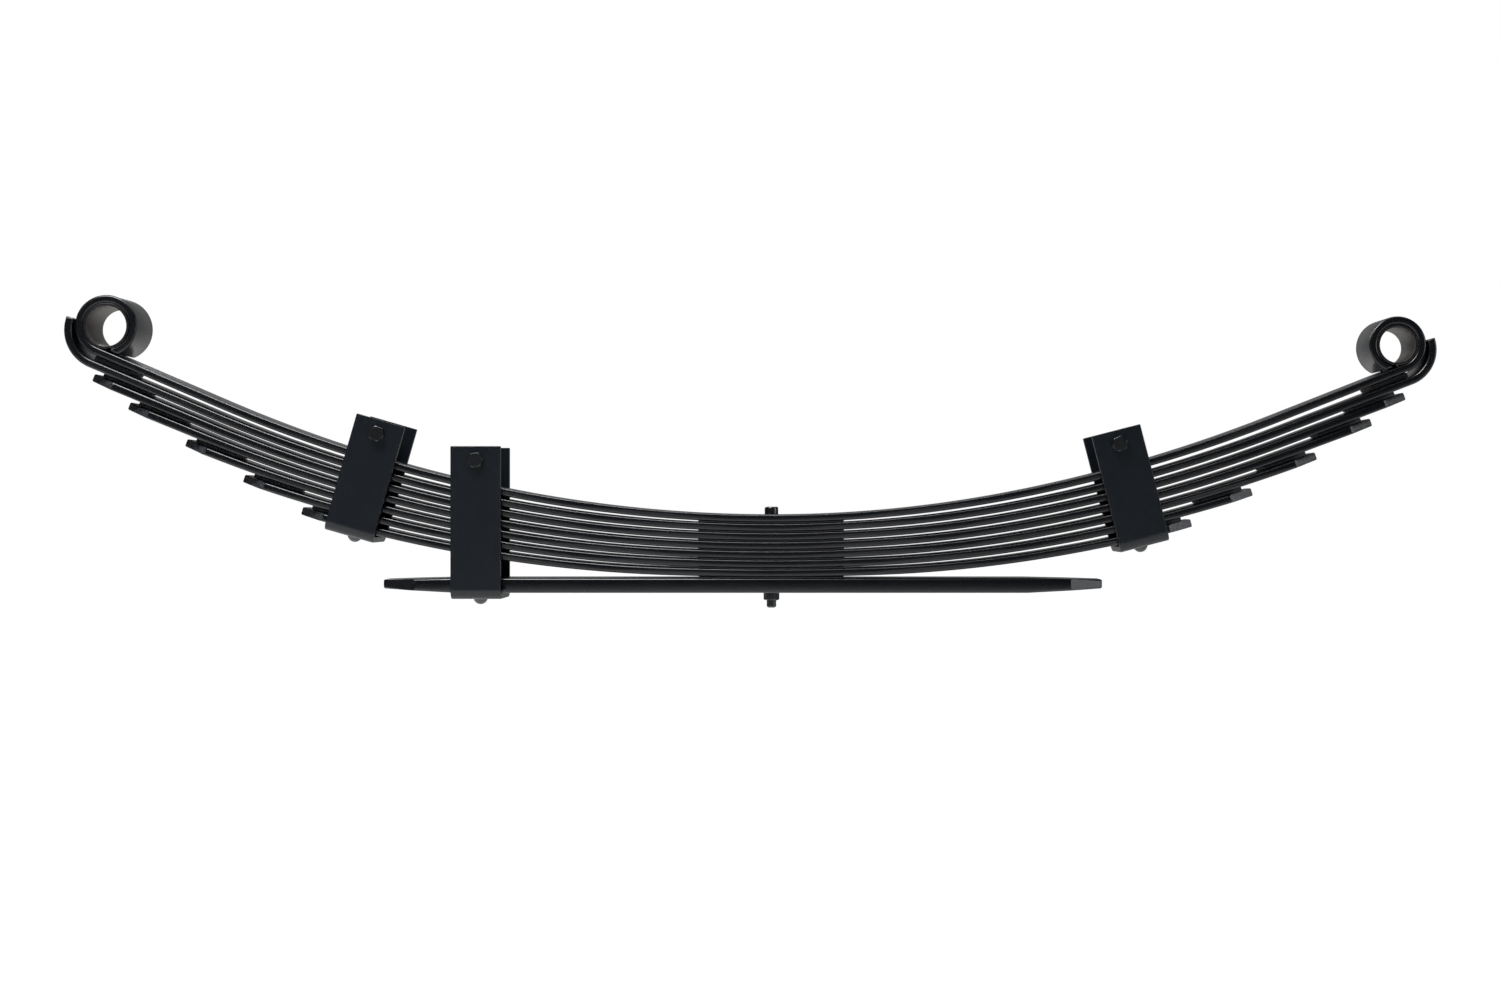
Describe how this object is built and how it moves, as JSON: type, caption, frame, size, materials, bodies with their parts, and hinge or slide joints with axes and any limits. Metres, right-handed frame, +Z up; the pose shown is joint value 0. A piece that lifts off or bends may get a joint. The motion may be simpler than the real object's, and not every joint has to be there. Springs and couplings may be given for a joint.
{
  "type": "leaf spring",
  "caption": "Leaf spring with rolled eyes, a wrapper leaf, graduated leaves and a flat overload leaf, held together by a centre bolt and bolted clips.",
  "frame": {"origin": "the centre bolt's axis at the main leaf's top face", "axes": "+X along the spring from the front eye to the rear eye, +Y across it, away from the clip bolts' heads, +Z up, towards the eyes"},
  "size_m": [1.3737, 0.1064, 0.3142],
  "materials": {
    "leaf_paint": "satin black paint over spring steel",
    "clip_paint": "satin black paint over bent bar",
    "hardware_paint": "satin black paint over steel fasteners",
    "liner_plastic": "matte black",
    "pad_rubber": "matte black",
    "sleeve_steel": "bare machined steel, dull inside"
  },
  "bodies": {
    "centre": {"main_leaf": "leaf_paint", "wrapper_leaf": "leaf_paint", "leaf_3": "leaf_paint", "leaf_4": "leaf_paint", "leaf_5": "leaf_paint", "leaf_6": "leaf_paint", "leaf_7": "leaf_paint", "overload_leaf": "leaf_paint", "centre_bolt": "hardware_paint", "centre_nut": "hardware_paint", "liner_1": "liner_plastic", "liner_2": "liner_plastic", "liner_3": "liner_plastic", "liner_4": "liner_plastic", "liner_5": "liner_plastic", "liner_6": "liner_plastic", "liner_7": "liner_plastic", "helper_clip": "clip_paint", "helper_clip_bolt": "hardware_paint", "helper_clip_nut": "hardware_paint", "helper_clip_spacer": "hardware_paint", "helper_clip_rivet": "hardware_paint"},
    "front_end": {"front_eye_sleeve": "sleeve_steel", "front_pad_2": "pad_rubber", "front_pad_3": "pad_rubber", "front_pad_4": "pad_rubber", "front_pad_5": "pad_rubber", "front_pad_6": "pad_rubber", "front_pad_7": "pad_rubber", "front_clip": "clip_paint", "front_clip_bolt": "hardware_paint", "front_clip_nut": "hardware_paint", "front_clip_spacer": "hardware_paint", "front_clip_rivet": "hardware_paint"},
    "rear_end": {"rear_eye_sleeve": "sleeve_steel", "rear_pad_2": "pad_rubber", "rear_pad_3": "pad_rubber", "rear_pad_4": "pad_rubber", "rear_pad_5": "pad_rubber", "rear_pad_6": "pad_rubber", "rear_pad_7": "pad_rubber", "rear_clip": "clip_paint", "rear_clip_bolt": "hardware_paint", "rear_clip_nut": "hardware_paint", "rear_clip_spacer": "hardware_paint", "rear_clip_rivet": "hardware_paint"}
  },
  "joints": [
    {"name": "front_bend", "type": "hinge", "parent": "centre", "child": "front_end", "pos_m": [-0.223, 0, -0.012], "axis": [0, -1, 0], "range_deg": [0, 12], "stiffness_Nm_per_rad": 6000, "deforming": ["main_leaf", "wrapper_leaf", "leaf_3", "leaf_4", "leaf_5", "leaf_6", "leaf_7"]},
    {"name": "rear_bend", "type": "hinge", "parent": "centre", "child": "rear_end", "pos_m": [0.205, 0, -0.014], "axis": [0, 1, 0], "range_deg": [0, 12], "stiffness_Nm_per_rad": 5600, "deforming": ["main_leaf", "wrapper_leaf", "leaf_3", "leaf_4", "leaf_5", "leaf_6", "leaf_7"]}
  ]
}
